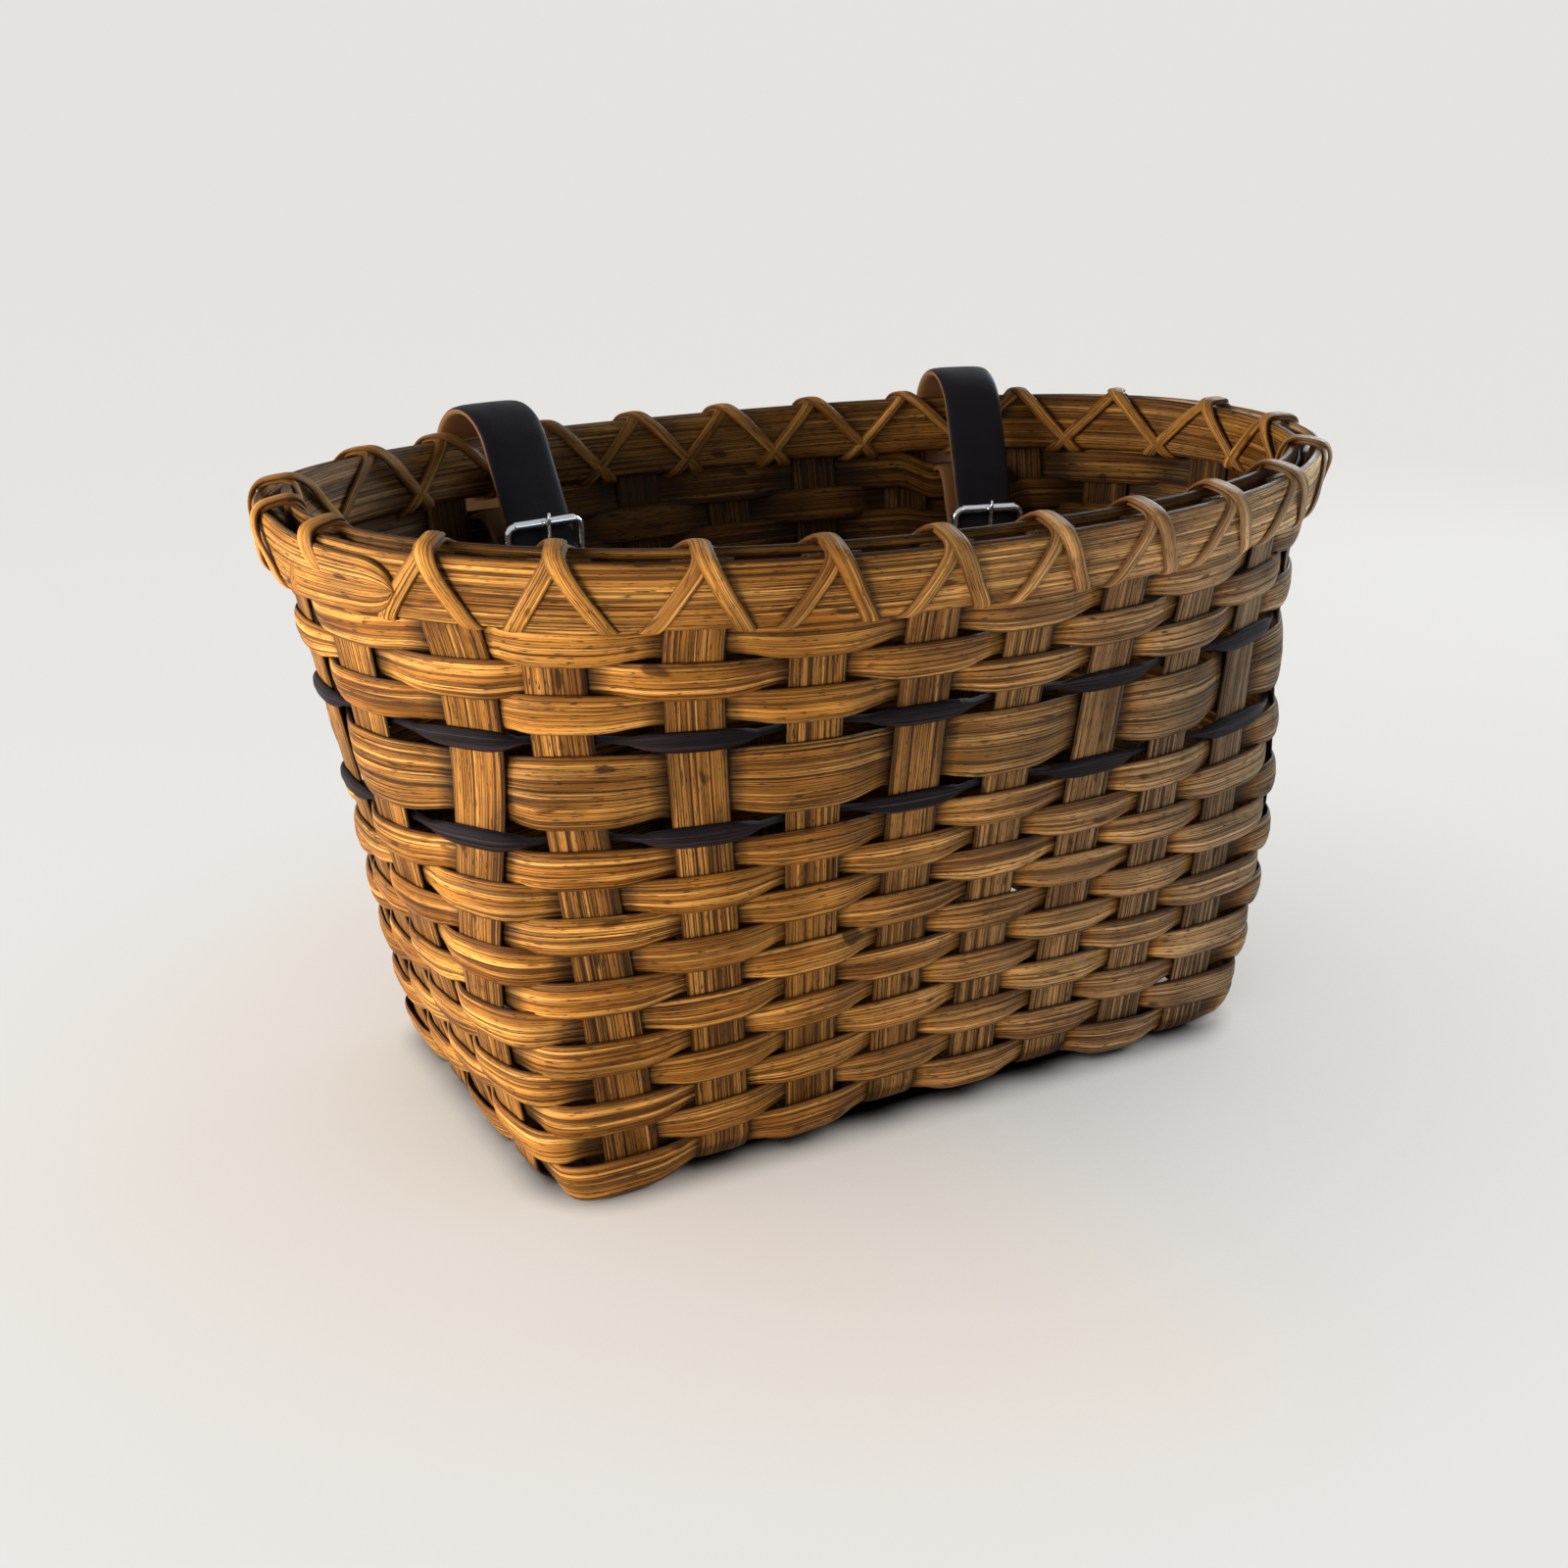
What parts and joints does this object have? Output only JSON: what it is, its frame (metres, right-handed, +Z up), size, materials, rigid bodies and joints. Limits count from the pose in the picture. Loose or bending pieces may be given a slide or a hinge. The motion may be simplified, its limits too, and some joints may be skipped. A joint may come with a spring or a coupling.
{
  "type": "woven bicycle basket",
  "caption": "Oblong flat-reed bicycle basket with flared woven walls, lashed double rim, dyed accent rows and two buckled leather straps that loop the rear rim.",
  "frame": {"origin": "on the ground under the middle of the base", "axes": "+X along the basket's length, +Y to the strapped rear wall, +Z up"},
  "size_m": [0.3407, 0.211, 0.1963],
  "materials": {
    "reed": "satin stain",
    "dyed_reed": "satin dye",
    "leather": "smooth",
    "chrome": "polished"
  },
  "bodies": {
    "basket": {"cross_stake_1": "reed", "cross_stake_2": "reed", "cross_stake_3": "reed", "cross_stake_4": "reed", "cross_stake_5": "reed", "cross_stake_6": "reed", "cross_stake_7": "reed", "cross_stake_8": "reed", "long_stake_1": "reed", "long_stake_2": "reed", "long_stake_3": "reed", "long_stake_4": "reed", "weaver_row_01": "reed", "weaver_row_02": "reed", "weaver_row_03": "reed", "weaver_row_04": "dyed_reed", "weaver_row_05": "reed", "weaver_row_06": "dyed_reed", "weaver_row_07": "reed", "weaver_row_08": "reed", "weaver_row_09": "reed", "weaver_row_10": "reed", "weaver_row_11": "reed", "weaver_row_12": "reed", "weaver_row_13": "reed", "weaver_row_14": "reed", "weaver_row_15": "reed", "weaver_row_16": "reed", "weaver_row_17": "reed", "rim_weaver": "reed", "outer_rim_band": "reed", "inner_rim_band": "reed", "first_lashing": "reed", "second_lashing": "reed"},
    "left_strap_loop": {"left_strap": "leather", "left_buckle_frame": "chrome", "left_strap_rivet": "chrome"},
    "left_prong": {"left_buckle_prong": "chrome"},
    "right_strap_loop": {"right_strap": "leather", "right_buckle_frame": "chrome", "right_strap_rivet": "chrome"},
    "right_prong": {"right_buckle_prong": "chrome"}
  },
  "joints": [
    {"name": "left_strap_swing", "type": "hinge", "parent": "basket", "child": "left_strap_loop", "pos_m": [-0.072, 0.08654, 0.1773], "axis": [-0.9892, -0.1469, 0], "range_deg": [0, 210]},
    {"name": "left_prong_lift", "type": "hinge", "parent": "left_strap_loop", "child": "left_prong", "pos_m": [-0.06748, 0.05609, 0.14092], "axis": [0.9892, 0.1469, 0], "range_deg": [0, 10]},
    {"name": "right_strap_swing", "type": "hinge", "parent": "basket", "child": "right_strap_loop", "pos_m": [0.0985, 0.07838, 0.17782], "axis": [-0.9736, 0.2282, 0], "range_deg": [0, 210]},
    {"name": "right_prong_lift", "type": "hinge", "parent": "right_strap_loop", "child": "right_prong", "pos_m": [0.09124, 0.04739, 0.13116], "axis": [0.9736, -0.2282, 0], "range_deg": [0, 10]}
  ]
}
